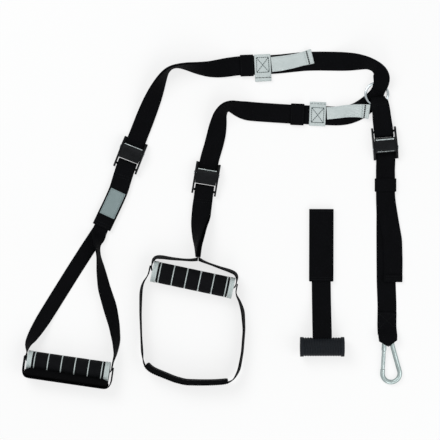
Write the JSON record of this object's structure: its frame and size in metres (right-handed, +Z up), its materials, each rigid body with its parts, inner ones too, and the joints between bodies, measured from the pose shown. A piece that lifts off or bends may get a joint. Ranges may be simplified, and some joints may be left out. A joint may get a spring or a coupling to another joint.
{
  "type": "suspension trainer",
  "caption": "Suspension trainer laid flat: adjustable webbing legs with cam buckles, tubular foam grips with foot loops, snap hook and separate door anchor",
  "frame": {"origin": "centre of the box's underside, on the floor the trainer lies on", "axes": "+X to the right and +Y to the top of the picture, +Z up from the floor"},
  "size_m": [0.6388, 0.5706, 0.0389],
  "materials": {
    "black_webbing": "woven, matt",
    "grey_webbing": "woven, matt",
    "pad_cloth": "padded cloth, matt",
    "label_grey": "flat, bare",
    "buckle_black": "black, satin",
    "pin_steel": "satin",
    "spring_steel": "plain",
    "ring_chrome": "polished",
    "hook_zinc": "bright zinc",
    "grip_plastic": "moulded, satin",
    "grip_foam": "closed cell foam, matt",
    "roller_rubber": "ribbed, satin",
    "core_plastic": "moulded"
  },
  "bodies": {
    "webbing": {"anchor_cam_frame": "buckle_black", "anchor_cam_pin": "pin_steel", "anchor_cam_spring": "spring_steel", "anchor_loop": "black_webbing", "door_core": "core_plastic", "door_roller": "roller_rubber", "door_sleeve": "black_webbing", "door_strap": "black_webbing", "left_handle_strap": "black_webbing", "left_neck_strap": "black_webbing", "lower_adjuster": "grey_webbing", "lower_cam_frame": "buckle_black", "lower_cam_pin": "pin_steel", "lower_cam_spring": "spring_steel", "lower_keeper": "black_webbing", "lower_leg_strap": "black_webbing", "main_strap": "black_webbing", "neck_label": "label_grey", "right_handle_strap": "black_webbing", "right_neck_strap": "black_webbing", "upper_adjuster": "grey_webbing", "upper_cam_frame": "buckle_black", "upper_cam_pin": "pin_steel", "upper_cam_spring": "spring_steel", "upper_keeper": "black_webbing", "upper_leg_strap": "black_webbing"},
    "upper_lever": {"upper_cam_lever": "buckle_black"},
    "lower_lever": {"lower_cam_lever": "buckle_black"},
    "anchor_lever": {"anchor_cam_lever": "buckle_black"},
    "hook": {"hook_body": "hook_zinc", "hook_pin": "hook_zinc"},
    "gate": {"hook_gate": "hook_zinc"},
    "ring": {"strap_ring": "ring_chrome"},
    "left_grip": {"left_grip_tube": "grip_plastic", "left_grip_foam": "grip_foam", "left_inner_cap": "grip_plastic", "left_outer_cap": "grip_plastic"},
    "right_grip": {"right_grip_tube": "grip_plastic", "right_grip_foam": "grip_foam", "right_inner_cap": "grip_plastic", "right_outer_cap": "grip_plastic"},
    "left_foot": {"left_foot_pad": "pad_cloth", "left_foot_strap": "black_webbing"},
    "right_foot": {"right_foot_pad": "pad_cloth", "right_foot_strap": "black_webbing"},
    "upper_tab": {"upper_pull_tab": "grey_webbing"},
    "lower_tab": {"lower_pull_tab": "grey_webbing"},
    "keeper": {"main_keeper": "black_webbing"}
  },
  "joints": [
    {"name": "upper_lever_press", "type": "hinge", "parent": "webbing", "child": "upper_lever", "pos_m": [-0.13533, 0.11405, 0.0125], "axis": [0.9307, -0.3659, 0], "range_deg": [0, 20], "stiffness_Nm_per_rad": 0.25, "springref_deg": -20.05},
    {"name": "lower_lever_press", "type": "hinge", "parent": "webbing", "child": "lower_lever", "pos_m": [-0.00997, 0.07476, 0.0125], "axis": [0.9863, -0.165, 0], "range_deg": [0, 20], "stiffness_Nm_per_rad": 0.25, "springref_deg": -20.05},
    {"name": "anchor_lever_press", "type": "hinge", "parent": "webbing", "child": "anchor_lever", "pos_m": [0.28984, 0.11851, 0.0125], "axis": [-0.9962, -0.087, 0], "range_deg": [0, 20], "stiffness_Nm_per_rad": 0.25, "springref_deg": -20.05},
    {"name": "hook_swing", "type": "hinge", "parent": "webbing", "child": "hook", "pos_m": [0.29385, -0.2051, 0.0072], "axis": [0.9941, 0.108, 0], "range_deg": [0, 60]},
    {"name": "gate_open", "type": "hinge", "parent": "hook", "child": "gate", "pos_m": [0.28716, -0.22815, 0.00619], "axis": [0.0049, -0.0453, 0.999], "range_deg": [0, 22], "stiffness_Nm_per_rad": 0.06, "springref_deg": -17.19},
    {"name": "ring_spin", "type": "hinge", "parent": "webbing", "child": "ring", "pos_m": [0.27567, 0.209, 0.0064], "axis": [0, 0, 1], "continuous": true},
    {"name": "left_grip_spin", "type": "hinge", "parent": "webbing", "child": "left_grip", "pos_m": [-0.24183, -0.24821, 0.018], "axis": [0.9895, -0.1445, 0], "continuous": true},
    {"name": "left_foot_lift", "type": "hinge", "parent": "webbing", "child": "left_foot", "pos_m": [-0.24183, -0.24821, 0.018], "axis": [-0.9895, 0.1445, 0], "range_deg": [0, 90]},
    {"name": "right_grip_spin", "type": "hinge", "parent": "webbing", "child": "right_grip", "pos_m": [-0.03335, -0.10237, 0.018], "axis": [0.9781, -0.208, 0], "continuous": true},
    {"name": "right_foot_lift", "type": "hinge", "parent": "webbing", "child": "right_foot", "pos_m": [-0.03335, -0.10237, 0.018], "axis": [-0.9781, 0.208, 0], "range_deg": [0, 90]},
    {"name": "upper_tab_lift", "type": "hinge", "parent": "webbing", "child": "upper_tab", "pos_m": [0.09882, 0.25905, 0.006], "axis": [0.1142, -0.9935, 0], "range_deg": [0, 90]},
    {"name": "lower_tab_lift", "type": "hinge", "parent": "webbing", "child": "lower_tab", "pos_m": [0.19171, 0.17718, 0.00602], "axis": [0.0533, -0.9986, 0], "range_deg": [0, 90]},
    {"name": "keeper_slide", "type": "slide", "parent": "webbing", "child": "keeper", "axis": [0, -1, 0], "range_m": [-0.003, 0.003]}
  ]
}
